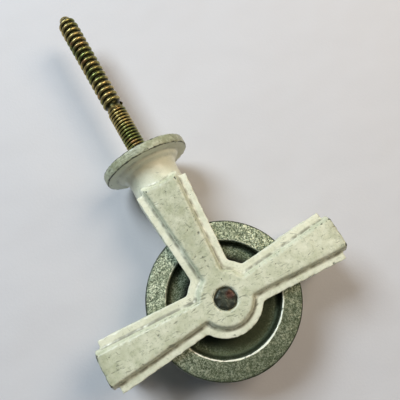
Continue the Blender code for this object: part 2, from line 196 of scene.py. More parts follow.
def add_piece(name, points, faces, body, replaced, origin=(0.0, 0.0, 0.0)):
    """Make a smooth-shaded piece that rides on a body and stands for a CAD node."""
    mesh = bpy.data.meshes.new(name)
    mesh.from_pydata([tuple(p) for p in points], [], faces)
    mesh.validate()
    mesh.shade_smooth()
    piece = bpy.data.objects.new(name, mesh)
    piece.location = origin
    put_in_scene(piece)
    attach(piece, body)
    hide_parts(replaced)
    return piece


def arc(centre, radius, start, stop, steps):
    """Points on an arc, with the angles in degrees."""
    points = []
    for step in range(steps + 1):
        angle = math.radians(start + (stop - start) * step / steps)
        points.append((centre[0] + radius * math.cos(angle), centre[1] + radius * math.sin(angle)))
    return points


def refined(profile, longest):
    """A closed profile with no side longer than the length given."""
    points = []
    for index, (x, y) in enumerate(profile):
        next_x, next_y = profile[(index + 1) % len(profile)]
        pieces = max(1, math.ceil(math.hypot(next_x - x, next_y - y) / longest))
        for step in range(pieces):
            share = step / pieces
            points.append((x + (next_x - x) * share, y + (next_y - y) * share))
    return points


def spun(profile, steps):
    """Points and faces of a closed profile spun about the Z axis."""
    points = []
    faces = []
    count = len(profile)
    for step in range(steps):
        angle = math.tau * step / steps
        cosine = math.cos(angle)
        sine = math.sin(angle)
        points.extend((r * cosine, r * sine, z) for r, z in profile)
        after = (step + 1) % steps
        for index in range(count):
            following = (index + 1) % count
            faces.append((step * count + following, after * count + following,
                          after * count + index, step * count + index))
    return np.array(points), faces


def mesh_arrays(mesh):
    """Points, normals and edges of a mesh as arrays."""
    count = len(mesh.vertices)
    points = np.zeros(count * 3, np.float64)
    mesh.vertices.foreach_get("co", points)
    normals = np.zeros(count * 3, np.float64)
    mesh.vertices.foreach_get("normal", normals)
    edges = np.zeros(len(mesh.edges) * 2, np.int64)
    mesh.edges.foreach_get("vertices", edges)
    return points.reshape(-1, 3), normals.reshape(-1, 3), edges.reshape(-1, 2)


def relaxed(values, edges, passes):
    """Values with each point moved towards the mean of its neighbours, several times."""
    count = len(values)
    degree = np.bincount(edges.ravel(), minlength=count).astype(float)
    out = values.astype(float)
    for _ in range(passes):
        total = np.empty_like(out)
        for axis in range(out.shape[1]):
            column = out[:, axis]
            total[:, axis] = (np.bincount(edges[:, 0], column[edges[:, 1]], count)
                              + np.bincount(edges[:, 1], column[edges[:, 0]], count))
        out = 0.5 * out + 0.5 * total / degree[:, None]
    return out


def faded(distance, span):
    """How far into a span each distance is, from 0 to 1."""
    return np.clip(distance / span, 0.0, 1.0)


def store_value(mesh, name, values):
    """Store one number a point for the materials."""
    attribute = mesh.attributes.new(name, "FLOAT", "POINT")
    attribute.data.foreach_set("value", np.asarray(values, np.float32))


def store_bends(mesh, passes, reach):
    """Store how far each point stands out of (edge) or in from (hollow) its smoothed place."""
    points, normals, edges = mesh_arrays(mesh)
    away = np.einsum("ij,ij->i", points - relaxed(points, edges, passes), normals) / reach
    store_value(mesh, "edge", np.clip(away, 0.0, 1.0))
    store_value(mesh, "hollow", np.clip(-away, 0.0, 1.0))
    return away


def noise_field(points, size, seed, octaves=2):
    """Smooth noise from -1 to 1 at each point, with lumps of a size."""
    shift = Vector((seed * 17.3, seed * 5.1, seed * 9.7))
    return np.array([noise.fractal(Vector(p) / size + shift, 1.0, 2.0, octaves) for p in points])


def move_points(mesh, offsets, low, high):
    """Move each point along its normal, but not out of a box."""
    points, normals, _ = mesh_arrays(mesh)
    moved = np.clip(points + normals * offsets[:, None], low, high)
    mesh.vertices.foreach_set("co", moved.ravel())
    mesh.update()


# ---------------- node making


def feed(tree, end, value):
    """Link a socket to a node's input, or set the input to a plain value."""
    if isinstance(value, bpy.types.NodeSocket):
        tree.links.new(value, end)
    else:
        end.default_value = value


def node(tree, kind, inputs=None, **settings):
    """Add a node, with its inputs given as values or as sockets to link."""
    made = tree.nodes.new(kind)
    for key, value in settings.items():
        setattr(made, key, value)
    for key, value in (inputs or {}).items():
        feed(tree, made.inputs[key], value)
    return made


def calc(tree, operation, first, second=0.0, clamp=False):
    """A sum on one or two values."""
    made = node(tree, "ShaderNodeMath", {0: first, 1: second}, operation=operation,
                use_clamp=clamp)
    return made.outputs[0]


def times(tree, first, second, clamp=False):
    """One value times another."""
    return calc(tree, "MULTIPLY", first, second, clamp)


def plus(tree, first, second, clamp=False):
    """The sum of two values."""
    return calc(tree, "ADD", first, second, clamp)


def minus(tree, first, second, clamp=False):
    """One value less another."""
    return calc(tree, "SUBTRACT", first, second, clamp)


def vector_calc(tree, operation, first, second=(0.0, 0.0, 0.0), output="Vector"):
    """A sum on one or two vectors, which gives a vector or a value."""
    made = node(tree, "ShaderNodeVectorMath", {0: first, 1: second}, operation=operation)
    return made.outputs[output]


def in_plane(tree, place):
    """A place with its height along the axle taken out."""
    return vector_calc(tree, "MULTIPLY", place, (1.0, 1.0, 0.0))


def between(tree, value, low, high, start=0.0, stop=1.0):
    """A value eased from low..high to start..stop."""
    made = node(tree, "ShaderNodeMapRange",
                {"Value": value, "From Min": low, "From Max": high, "To Min": start,
                 "To Max": stop}, interpolation_type="SMOOTHSTEP")
    return made.outputs["Result"]


def blend(tree, share, first, second):
    """One colour mixed into another."""
    colours = [value if isinstance(value, bpy.types.NodeSocket) else (*value, 1.0)
               for value in (first, second)]
    made = node(tree, "ShaderNodeMix", {0: share, 6: colours[0], 7: colours[1]}, data_type="RGBA")
    return made.outputs[2]


def lumps(tree, place, scale, detail=2.0, roughness=0.5):
    """Noise between 0 and 1."""
    made = node(tree, "ShaderNodeTexNoise",
                {"Vector": place, "Scale": scale, "Detail": detail, "Roughness": roughness})
    return made.outputs["Fac"]


def stored(tree, name):
    """A number stored on the mesh."""
    return node(tree, "ShaderNodeAttribute", attribute_name=name).outputs["Fac"]


def new_group(name, inputs, outputs):
    """Start a shader node group, with a place and plain values going in, and return its ends."""
    group = bpy.data.node_groups.new(name, "ShaderNodeTree")
    group.interface.new_socket(name="Place", in_out="INPUT", socket_type="NodeSocketVector")
    for label, default in inputs.items():
        socket = group.interface.new_socket(name=label, in_out="INPUT",
                                            socket_type="NodeSocketFloat")
        socket.default_value = default
    for label in outputs:
        group.interface.new_socket(name=label, in_out="OUTPUT", socket_type="NodeSocketFloat")
    start = group.nodes.new("NodeGroupInput")
    stop = group.nodes.new("NodeGroupOutput")
    return group, start.outputs, stop.inputs


def place_group(tree, name, inputs):
    """Put a group into a material."""
    return node(tree, "ShaderNodeGroup", inputs, node_tree=bpy.data.node_groups[name]).outputs


def build_edge_wear():
    """Group: broken wear along raised edges."""
    group, given, out = new_group("Edge Wear", {"Edge": 0.0, "Scale": 400.0, "Amount": 0.5},
                                  ["Worn", "Rubbed"])
    chips = lumps(group, given["Place"], given["Scale"], 3.0, 0.65)
    patch_scale = times(group, given["Scale"], 0.22)
    patches = lumps(group, given["Place"], patch_scale, 1.0)
    level = plus(group, given["Edge"], times(group, chips, 1.1))
    level = plus(group, level, times(group, patches, 0.7))
    bar = minus(group, 2.1, times(group, given["Amount"], 0.5))
    over = minus(group, level, bar)
    group.links.new(between(group, over, 0.0, 0.09), out["Worn"])
    group.links.new(between(group, over, -0.28, 0.05), out["Rubbed"])


def build_scratches():
    """Group: short straight scratches that run one way and come in patches."""
    group, given, out = new_group(
        "Scratches", {"Angle": 0.0, "Scale": 90.0, "Stretch": 16.0, "Amount": 0.5}, ["Mark"])
    turn = node(group, "ShaderNodeCombineXYZ", {"Z": given["Angle"]}).outputs[0]
    turned = node(group, "ShaderNodeVectorRotate", {"Vector": given["Place"], "Rotation": turn},
                  rotation_type="EULER_XYZ").outputs[0]
    thin = node(group, "ShaderNodeCombineXYZ", {"X": 1.0, "Y": given["Stretch"], "Z": 1.0})
    drawn = vector_calc(group, "MULTIPLY", turned, thin.outputs[0])
    lines = lumps(group, drawn, given["Scale"], 2.0, 0.6)
    patch_scale = times(group, given["Scale"], 1.1)
    patches = lumps(group, given["Place"], patch_scale, 2.0)
    level = plus(group, lines, times(group, patches, 0.5))
    bar = minus(group, 1.04, times(group, given["Amount"], 0.10))
    group.links.new(between(group, minus(group, level, bar), 0.0, 0.04), out["Mark"])


def build_specks():
    """Group: scattered round specks of several sizes."""
    group, given, out = new_group("Specks", {"Scale": 300.0, "Size": 0.12, "Share": 0.3},
                                  ["Speck"])
    near = node(group, "ShaderNodeTexVoronoi", {"Vector": given["Place"], "Scale": given["Scale"]})
    pick = node(group, "ShaderNodeSeparateColor", {"Color": near.outputs["Color"]}).outputs[0]
    chosen = calc(group, "LESS_THAN", pick, given["Share"])
    reach = times(group, given["Size"], plus(group, 0.5, pick))
    spot = minus(group, reach, near.outputs["Distance"])
    group.links.new(times(group, chosen, between(group, spot, 0.0, 0.05)), out["Speck"])


def build_grain():
    """Group: coarse cast grain with pits."""
    group, given, out = new_group("Cast Grain", {"Scale": 900.0, "Contrast": 0.5},
                                  ["Tone", "Height"])
    large = lumps(group, given["Place"], times(group, given["Scale"], 0.3), 2.0, 0.6)
    fine = lumps(group, given["Place"], given["Scale"], 3.0, 0.75)
    sharp = lumps(group, given["Place"], times(group, given["Scale"], 2.6), 2.0, 0.6)
    mixed = plus(group, times(group, fine, 0.55), times(group, sharp, 0.3))
    mixed = plus(group, mixed, times(group, large, 0.15))
    gain = times(group, given["Contrast"], 9.0)
    spread = times(group, minus(group, mixed, 0.5), gain)
    group.links.new(plus(group, spread, 0.5, clamp=True), out["Tone"])
    group.links.new(mixed, out["Height"])


def start_material(name):
    """A new material with its tree, its shader and the place on the object."""
    made = bpy.data.materials.new(name)
    made.use_nodes = True
    tree = made.node_tree
    place = node(tree, "ShaderNodeTexCoord").outputs["Object"]
    return made, tree, tree.nodes["Principled BSDF"], place


def set_bump(tree, shader, height, distance):
    """Feed a height into the shader's normal."""
    bump = node(tree, "ShaderNodeBump", {"Height": height, "Distance": distance})
    tree.links.new(bump.outputs[0], shader.inputs["Normal"])


# ---------------- materials

# the paint's flecks, its thin places on edges that also serve as a painted highlight, hand grease
# and scratches
FLECK = (0.28, 0.31, 0.20)
THIN_PAINT_AND_HIGHLIGHT = (0.78, 0.79, 0.62)
HAND_GREASE = (0.23, 0.24, 0.13)
SCRATCHED = (0.14, 0.15, 0.10)

# scratches that run five ways: angle, fineness, stretch and amount
SCRATCH_SETS = ((0.06, 210.0, 10.0, 1.0), (1.30, 260.0, 8.0, 0.55), (0.60, 270.0, 7.0, 0.65),
                (-0.30, 250.0, 8.0, 0.7), (0.15, 130.0, 5.0, 0.8))
SCRATCHED_ANYWHERE = 0.30    # how scratched the paint is where nothing rubs it

# the wheel's stain and painted shade, from the palest to the blackest, and its polished lip with a
# painted highlight
CLOUD = (0.13, 0.17, 0.09)
SIDE_SHADE = (0.075, 0.095, 0.05)
WEB_SHADE = (0.055, 0.08, 0.035)
NICK_AND_EDGE_SHADE = (0.02, 0.024, 0.015)
FILLET_SHADE = (0.018, 0.024, 0.012)
PIT = (0.016, 0.02, 0.012)
HUB_SHADOW = (0.008, 0.009, 0.005)
POLISH_AND_HIGHLIGHT = (0.92, 0.94, 0.78)

# painted shadow of the hub and cheeks on the web: a near-black ring a little off the axle, fading
# out between two radii
HUB_SHADOW_CENTRE = (0.6 * MM, -1.8 * MM, 0.0)
HUB_SHADOW_FULL = 15.5 * MM
HUB_SHADOW_GONE = 19.0 * MM
SHADE_AND_GLINT_WAY = (0.2, -0.98, 0.0)    # the side of the wheel painted darker as shade, where the lip's painted highlight is also strongest

RUST_CENTRE = (2.0 * MM, 0.7 * MM, 0.0)


def layered(tree, colour, layers):
    """A colour with more laid over it, each layer given as (mask, strength, colour)."""
    for mask, strength, over in layers:
        colour = blend(tree, times(tree, mask, strength), colour, over)
    return colour


def cream_paint(settings):
    """Thick cream paint, greyed by handling, chipped at the edges, paler on raised edges (thin
    paint and a painted highlight), and darkened in the corners by dirt and painted shade.
    """
    made, tree, shader, place = start_material("cream_paint")
    edge, hollow, rub, pit = (stored(tree, name) for name in ("edge", "hollow", "rub", "pit"))

    blotch = lumps(tree, place, 170.0, 4.0, 0.65)
    uneven = times(tree, minus(tree, blotch, 0.52), 2.2)
    stain = plus(tree, times(tree, rub, 0.9), uneven, clamp=True)
    fleck = between(tree, lumps(tree, place, 1100.0, 3.0, 0.7), 0.50, 0.72)
    often_flecked = plus(tree, 0.10, times(tree, rub, 0.70))
    smears = between(tree, lumps(tree, place, 560.0, 3.0, 0.65), 0.30, 0.62, 0.2, 1.0)
    handled = times(tree, between(tree, rub, 0.70, 1.0), smears)
    # the corners darken with dirt and with painted shade
    corner = times(tree, between(tree, hollow, 0.10, 0.65),
                   between(tree, lumps(tree, place, 300.0, 3.0), 0.28, 0.60))
    colour = blend(tree, stain, settings.paint, settings.stained_paint)
    # raised edges are painted paler: thin paint and a painted highlight
    colour = layered(tree, colour, (
        (fleck, often_flecked, FLECK), (edge, 0.30, THIN_PAINT_AND_HIGHLIGHT), (handled, 0.72, HAND_GREASE),
        (corner, between(tree, rub, 0.05, 0.25, 0.25, 0.85), settings.grime_and_shade)))

    marks = None
    for angle, scale, stretch, amount in SCRATCH_SETS:
        strength = times(tree, amount, plus(tree, rub, SCRATCHED_ANYWHERE))
        mark = place_group(tree, "Scratches", {"Place": place, "Angle": angle, "Scale": scale,
                                               "Stretch": stretch, "Amount": strength})["Mark"]
        marks = mark if marks is None else calc(tree, "MAXIMUM", marks, mark)
    dots = place_group(tree, "Specks", {"Place": place, "Scale": 260.0, "Size": 0.15,
                                        "Share": 0.16})
    small_dots = place_group(tree, "Specks", {"Place": place, "Scale": 560.0, "Size": 0.24,
                                              "Share": 0.22})
    often_dotted = times(tree, rub, 1.6, clamp=True)
    speck = calc(tree, "MAXIMUM", dots["Speck"], times(tree, small_dots["Speck"], often_dotted))
    speck = calc(tree, "MAXIMUM", speck, pit)
    amount = plus(tree, settings.wear - 0.65, times(tree, rub, 1.10))
    wear = place_group(tree, "Edge Wear", {"Place": place, "Edge": edge, "Scale": 520.0,
                                           "Amount": amount})
    colour = layered(tree, colour, (
        (marks, 0.62, SCRATCHED), (speck, 0.75, settings.bare),
        (wear["Rubbed"], 0.35, settings.stained_paint), (wear["Worn"], 0.88, settings.bare)))
    tree.links.new(colour, shader.inputs["Base Color"])

    rough = between(tree, lumps(tree, place, 300.0, 3.0), 0.3, 0.7, 0.30, 0.50)
    rough = plus(tree, rough, times(tree, wear["Worn"], 0.2))
    tree.links.new(rough, shader.inputs["Roughness"])
    shader.inputs["Coat Weight"].default_value = 0.10
    shader.inputs["Coat Roughness"].default_value = 0.2

    brushed = times(tree, lumps(tree, place, 420.0, 4.0, 0.6), 0.55)
    height = plus(tree, brushed, times(tree, lumps(tree, place, 1500.0, 2.0), 0.16))
    for mask, depth in ((marks, 0.16), (speck, 0.35), (wear["Worn"], 0.38)):
        height = minus(tree, height, times(tree, mask, depth))
    set_bump(tree, shader, height, 0.20 * MM)
    return made


def rough_zinc(settings):
    """Dull cast zinc: speckled grain, dark pits, nicks, a polished lip with a painted highlight,
    and painted shade on the web, in its fillet, round the hub and on one side.
    """
    made, tree, shader, place = start_material("rough_zinc")
    hollow, deep, lip, outer = (stored(tree, name) for name in ("hollow", "deep", "lip", "outer"))

    grain = place_group(tree, "Cast Grain", {"Place": place, "Scale": 1700.0, "Contrast": 0.85})
    # painted shade: the recessed web is darkened, both in its grain tone and in its colour
    tone = minus(tree, grain["Tone"], times(tree, deep, 0.15), clamp=True)
    colour = blend(tree, between(tree, tone, 0.0, 0.55), settings.dark_zinc, settings.mid_zinc)
    colour = blend(tree, between(tree, tone, 0.62, 1.0), colour, settings.bright_zinc)

    cloud = between(tree, lumps(tree, place, 150.0, 3.0), 0.40, 0.68)
    # painted shadow: the web goes near-black round the hub, where the hub and cheeks shade it
    from_shadow_centre = vector_calc(tree, "DISTANCE", in_plane(tree, place), HUB_SHADOW_CENTRE, "Value")
    hub_shadow = between(tree, from_shadow_centre, HUB_SHADOW_GONE, HUB_SHADOW_FULL)
    pits = place_group(tree, "Specks", {"Place": place, "Scale": 300.0, "Size": 0.15,
                                        "Share": 0.22})["Speck"]
    # dark broken marks along the outer edge: partly nicks, partly a painted shade line where the
    # edge rounds over
    nicks_and_edge_shade = place_group(tree, "Edge Wear", {"Place": place, "Edge": outer, "Scale": 480.0,
                                            "Amount": 1.0})["Worn"]
    # painted shade in concave places such as the fillet between the web and the rim
    colour = layered(tree, colour, (
        (cloud, 0.25, CLOUD), (deep, 0.48, WEB_SHADE), (hub_shadow, 0.97, HUB_SHADOW),
        (between(tree, hollow, 0.1, 0.7), 0.7, FILLET_SHADE), (pits, 0.9, PIT), (nicks_and_edge_shade, 0.85, NICK_AND_EDGE_SHADE)))

    across = vector_calc(tree, "DOT_PRODUCT", place, SHADE_AND_GLINT_WAY, "Value")
    # painted shade: the wheel is darkened towards one side, away from the main light
    shaded_side = between(tree, across, -12.0 * MM, 20.0 * MM, 0.0, 0.60)
    colour = blend(tree, shaded_side, colour, SIDE_SHADE)
    # the lip's polish with a painted highlight, made stronger on the side where the light catches
    # the edge
    lip_polish_and_highlight = place_group(tree, "Edge Wear", {"Place": place, "Edge": lip, "Scale": 620.0,
                                            "Amount": 0.9})["Worn"]
    highlight_side = between(tree, across, -8.0 * MM, 12.0 * MM, 0.20, 0.95)
    colour = layered(tree, colour, ((lip_polish_and_highlight, highlight_side, POLISH_AND_HIGHLIGHT),))
    tree.links.new(colour, shader.inputs["Base Color"])

    rough = between(tree, grain["Tone"], 0.0, 1.0, 0.55, 0.30)
    tree.links.new(rough, shader.inputs["Roughness"])
    shader.inputs["Metallic"].default_value = 0.72
    set_bump(tree, shader, minus(tree, grain["Height"], times(tree, pits, 0.35)), 0.36 * MM)
    return made


def dark_steel(settings):
    """Oxidised rivet steel, rubbed in the middle, with a rusty patch."""
    made, tree, shader, place = start_material("dark_steel")
    flat_place = in_plane(tree, place)
    grain = place_group(tree, "Cast Grain", {"Place": place, "Scale": 1500.0, "Contrast": 0.35})
    from_axle = vector_calc(tree, "LENGTH", flat_place, output="Value")
    worn = times(tree, between(tree, from_axle, 3.0 * MM, 0.6 * MM),
                 between(tree, lumps(tree, place, 500.0, 3.0), 0.3, 0.65))
    from_rust = vector_calc(tree, "DISTANCE", flat_place, RUST_CENTRE, "Value")
    colour = layered(tree, blend(tree, times(tree, worn, 0.8), settings.steel, settings.rubbed), (
        (grain["Tone"], 0.25, settings.rubbed), (stored(tree, "edge"), 0.30, settings.rubbed),
        (between(tree, from_rust, 2.3 * MM, 0.7 * MM), 0.75, settings.rust)))
    tree.links.new(colour, shader.inputs["Base Color"])
    rough = between(tree, grain["Tone"], 0.0, 1.0, 0.50, 0.34)
    tree.links.new(rough, shader.inputs["Roughness"])
    shader.inputs["Metallic"].default_value = 0.5
    set_bump(tree, shader, grain["Height"], 0.16 * MM)
    return made


def yellow_zinc(settings):
    """Yellow-passivated zinc: gold crests that turn green and pink, and dark roots that are painted
    shade.
    """
    made, tree, shader, place = start_material("yellow_zinc")
    depth = stored(tree, "thread_depth")
    green_drift = between(tree, lumps(tree, place, 120.0, 2.0), 0.42, 0.62)
    pink_drift = between(tree, lumps(tree, place, 210.0, 2.0), 0.55, 0.75)
    streak = lumps(tree, place, 1400.0, 3.0, 0.7)
    colour = blend(tree, green_drift, settings.gold, settings.green)
    colour = blend(tree, pink_drift, colour, settings.pink)
    colour = layered(tree, colour, ((between(tree, streak, 0.45, 0.75), 0.35, settings.root),))
    # painted shade: the thread's roots go dark as if shaded by the crests
    dark = plus(tree, depth, times(tree, minus(tree, streak, 0.5), 0.5))
    colour = blend(tree, between(tree, dark, 0.20, 0.66), colour, settings.root)
    tree.links.new(colour, shader.inputs["Base Color"])
    rough = between(tree, streak, 0.3, 0.7, 0.26, 0.42)
    tree.links.new(rough, shader.inputs["Roughness"])
    shader.inputs["Metallic"].default_value = 0.85
    set_bump(tree, shader, streak, 0.05 * MM)
    return made


def pale_floor(settings):
    """Plain matt floor."""
    made, tree, shader, place = start_material("pale_floor")
    tint = between(tree, lumps(tree, place, 6.0, 3.0), 0.3, 0.7)
    darker = tuple(0.97 * channel for channel in settings.floor_colour)
    colour = blend(tree, tint, settings.floor_colour, darker)
    tree.links.new(colour, shader.inputs["Base Color"])
    shader.inputs["Roughness"].default_value = 0.9
    height = plus(tree, times(tree, lumps(tree, place, 900.0, 3.0), 0.03),
                  lumps(tree, place, 26.0, 2.0))
    set_bump(tree, shader, height, 1.6 * MM)
    return made


# ---------------- pieces


class PULLEY_OT_effects(Operator):
    """Build the shared wear, scratch, speck and grain node groups"""

    bl_idname = "pulley.effects"
    bl_label = "Build Shared Effects"

    def execute(self, context):
        build_edge_wear()
        build_scratches()
        build_specks()
        build_grain()
        return {"FINISHED"}


def remeshed_casting(settings):
    """An even, slightly rounded fine mesh of the yoke's solid."""
    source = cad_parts["yoke"]
    work = bpy.data.objects.new("yoke_work", source.data.copy())
    put_in_scene(work)
    remesh = work.modifiers.new("even", "REMESH")
    remesh.mode = "VOXEL"
    remesh.voxel_size = settings.grid
    soften = work.modifiers.new("soften", "SMOOTH")
    soften.factor = 0.5
    soften.iterations = settings.rounding
    graph = bpy.context.evaluated_depsgraph_get()
    mesh = bpy.data.meshes.new_from_object(work.evaluated_get(graph))
    bpy.data.objects.remove(work)
    return mesh


# where the rubbed parts of the yoke start and stop
FLANGE_DEPTH = 7.0 * MM      # the rim lies within this depth of the wall
PAD_SIDE = 9.7 * MM          # height of a pad's side above the middle plane
ARM_STOP = 12.0 * MM         # above the axle, where the arms give way to the stem
STEM_STOP = 53.0 * MM        # above the axle, where the stem gives way to the neck


def rubbed_share(points):
    """How much handling each point of the yoke has had: most on the flange's rim and the pads."""
    radius = np.hypot(points[:, 0], points[:, 2])
    along = points[:, 1] - AXLE.y
    height = np.abs(points[:, 2])
    rim = faded(radius - 0.95 * FLANGE_RADIUS, 0.02 * FLANGE_RADIUS)
    rim *= points[:, 1] > -FLANGE_DEPTH
    pad = faded(height - PAD_SIDE, 0.8 * MM)
    arm = faded(ARM_STOP - along, 4.0 * MM)
    stem = faded(STEM_STOP - along, 5.0 * MM)
    limbs = arm * (0.28 + 0.40 * pad) + (1.0 - arm) * stem * (0.20 + 0.62 * pad)
    ends = faded(np.abs(points[:, 0]) - 0.88 * ARM_REACH, 0.1 * ARM_REACH)
    return np.clip(np.maximum(rim, limbs + 0.15 * ends), 0.0, 1.0)


class PULLEY_OT_yoke(Operator):
    """Make the painted yoke casting"""

    bl_idname = "pulley.yoke"
    bl_label = "Build Yoke"

    # places, in millimetres from the axle, and radii of a few blow-holes in the casting
    PITS = (((3.2, 25.0, 11.4), 0.55), ((-6.5, 53.5, 13.5), 0.9), ((-4.9, 54.2, 13.2), 0.7),
            ((-26.5, 1.0, 11.4), 0.45), ((41.0, -9.2, 9.2), 0.5), ((-2.2, 18.0, 11.4), 0.35))

    # sizes of the slow hollows, the paint's sags and the dents along the edges
    HOLLOW = 14.0 * MM
    SAG = 2.6 * MM
    DENT = 1.5 * MM

    def execute(self, context):
        settings = context.scene.pulley_casting
        mesh = remeshed_casting(settings)
        points, _, _ = mesh_arrays(mesh)
        away = store_bends(mesh, passes=14, reach=0.20 * MM)
        slow = noise_field(points, self.HOLLOW, seed=1)
        sags = noise_field(points, self.SAG, seed=2)
        dents = noise_field(points, self.DENT, seed=3)
        offsets = settings.waviness * (0.6 * slow - 0.4) + settings.peel * sags
        offsets -= settings.nick * np.clip(away, 0.0, 1.0) * np.clip(dents + 0.15, 0.0, 1.0)
        pits = np.zeros(len(points))
        for (x, y, z), radius in self.PITS:
            centre = np.array((x * MM, y * MM + AXLE.y, z * MM))
            distance = np.linalg.norm(points - centre, axis=1) / (radius * MM)
            pits = np.maximum(pits, np.clip(1.0 - distance ** 2, 0.0, 1.0))
            offsets -= 0.5 * radius * MM * np.clip(1.0 - distance ** 2, 0.0, 1.0)
        store_value(mesh, "pit", np.clip(2.0 * pits, 0.0, 1.0))
        store_value(mesh, "rub", rubbed_share(points))
        move_points(mesh, offsets, yoke_low, yoke_high)
        mesh.shade_smooth()
        yoke = bpy.data.objects.new("yoke_casting", mesh)
        put_in_scene(yoke)
        mesh.materials.clear()
        mesh.materials.append(cream_paint(settings))
        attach(yoke, "yoke_body")
        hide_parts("yoke")
        return {"FINISHED"}


class PULLEY_OT_wheel(Operator):
    """Make the rough zinc sheave wheel"""

    bl_idname = "pulley.wheel"
    bl_label = "Build Wheel"

    STEPS = 260
    LONGEST_SIDE = 0.7 * MM
    LUMP = 6.0 * MM       # size of the casting's slow unevenness
    GRAIN = 1.1 * MM      # size of its grain

    def profile(self, settings):
        """Half section of the wheel from the bore out, as (radius, height) points."""
        rim = settings.rim_half_width
        web = settings.web_half_width
        inner = settings.rim_inner_radius
        hub = settings.hub_radius
        round_edge = 0.8 * MM      # the rim's outer edge
        fillet = 1.5 * MM          # between the web and the rim
        lip = 0.45 * MM            # width of the rim's worn inner edge
        draft = 0.6 * MM           # the hub narrows by this towards its face
        foot = 0.9 * MM            # the hub spreads by this where it meets the web
        half = [(settings.bore_radius, WHEEL_HUB_HALF), (hub - draft, WHEEL_HUB_HALF)]
        half.extend([(hub, web + 1.2 * MM), (hub + foot, web + 0.1 * MM)])
        half.append((inner - 2.6 * MM, web))
        half.extend(arc((inner - 1.9 * MM, web + fillet), fillet, -80.0, -5.0, 5))
        half.append((inner - 0.10 * MM, rim - 0.35 * MM))
        half.append((inner + 0.15 * MM, rim - 0.05 * MM))
        half.append((inner + lip, rim))
        half.extend(arc((WHEEL_RADIUS - round_edge, rim - round_edge), round_edge, 90.0, 0.0, 5))
        half.extend(arc((WHEEL_RADIUS, 0.0), settings.groove_radius, 90.0, 180.0, 10))
        return half

    def execute(self, context):
        settings = context.scene.pulley_wheel
        half = self.profile(settings)
        lower = [(radius, -height) for radius, height in reversed(half[:-1])]
        points, faces = spun(refined(half + lower, self.LONGEST_SIDE), self.STEPS)
        wheel = add_piece("zinc_wheel", points, faces, "wheel_body",
                          "sheave_wheel", AXLE)
        mesh = wheel.data
        store_bends(mesh, passes=14, reach=0.30 * MM)
        radius = np.hypot(points[:, 0], points[:, 1])
        inside = (radius < settings.rim_inner_radius - 0.3 * MM) & (radius > settings.hub_radius)
        store_value(mesh, "deep", inside.astype(float))
        face = faded(np.abs(points[:, 2]) - settings.rim_half_width + 0.9 * MM, 0.6 * MM)
        from_lip = np.abs(radius - settings.rim_inner_radius - 0.2 * MM) / (0.55 * MM)
        store_value(mesh, "lip", face * np.clip(1.4 - from_lip, 0.0, 1.0))
        from_edge = (WHEEL_RADIUS - radius) / (0.75 * MM)
        store_value(mesh, "outer", face * np.clip(1.5 - from_edge, 0.0, 1.0))
        grain = noise_field(points, self.GRAIN, seed=4, octaves=3)
        lumpy = noise_field(points, self.LUMP, seed=5)
        offsets = settings.sand * (0.7 * grain + 0.5 * lumpy - 1.1)
        offsets[radius < settings.bore_radius + 0.2 * MM] = 0.0
        move_points(mesh, offsets, wheel_low - AXLE, wheel_high - AXLE)
        mesh.materials.append(rough_zinc(settings))
        return {"FINISHED"}


class PULLEY_OT_rivet(Operator):
    """Make the dark steel axle rivet"""

    bl_idname = "pulley.rivet"
    bl_label = "Build Rivet"

    STEPS = 96
    LONGEST_SIDE = 0.45 * MM
    EDGE_ROUND = 0.7 * MM
    DISH_EDGE = 0.4 * MM
    BLOW = 1.6 * MM       # size of the hammer marks
    FACETS = 3.5          # half the number of flats round each head

    def execute(self, context):
        settings = context.scene.pulley_rivet
        seat = rivet_high.z - settings.head_height
        top = rivet_high.z
        upper = [(settings.shank_radius, seat), (RIVET_RADIUS, seat)]
        upper.extend(arc((RIVET_RADIUS - self.EDGE_ROUND, top - 0.75 * MM), self.EDGE_ROUND,
                         0.0, 75.0, 6))
        upper.append((settings.dish_radius + self.DISH_EDGE, top - 0.02 * MM))
        upper.append((settings.dish_radius, top - 0.06 * MM))
        upper.append((settings.dish_radius - self.DISH_EDGE, top - settings.dish_depth))
        upper.append((0.05 * MM, top - 0.8 * settings.dish_depth))
        lower = [(radius, -height) for radius, height in reversed(upper)]
        points, faces = spun(refined(upper[::-1] + lower[::-1], self.LONGEST_SIDE), self.STEPS)
        rivet = add_piece("steel_rivet", points, faces, "yoke_body",
                          "axle_rivet", AXLE)
        mesh = rivet.data
        store_bends(mesh, passes=6, reach=0.12 * MM)
        blows = noise_field(points, self.BLOW, seed=6)
        heads = faded(np.abs(points[:, 2]) - seat, 0.5 * MM)
        radius = np.hypot(points[:, 0], points[:, 1])
        facets = np.abs(np.sin(self.FACETS * np.arctan2(points[:, 1], points[:, 0]) + 0.4))
        facets *= faded(radius - 0.45 * RIVET_RADIUS, 0.5 * RIVET_RADIUS)
        offsets = heads * (0.12 * MM * (blows - 0.6) - 0.34 * MM * facets)
        move_points(mesh, offsets, rivet_low - AXLE, rivet_high - AXLE)
        mesh.materials.append(dark_steel(settings))
        return {"FINISHED"}


def thread_rows(start, stop, pitch, columns, steps, radius_at):
    """Rows of a helical thread, one for each turning step, as (radius, height, depth) points."""
    turns = int((stop - start) / pitch) - 1
    rows = []
    for row in range(turns * steps + 1):
        entries = []
        for column in range(columns):
            share = column / columns
            height = start + pitch * (row / steps + share)
            radius, depth = radius_at(height, share)
            entries.append((radius, height, depth))
        rows.append(entries)
    return rows


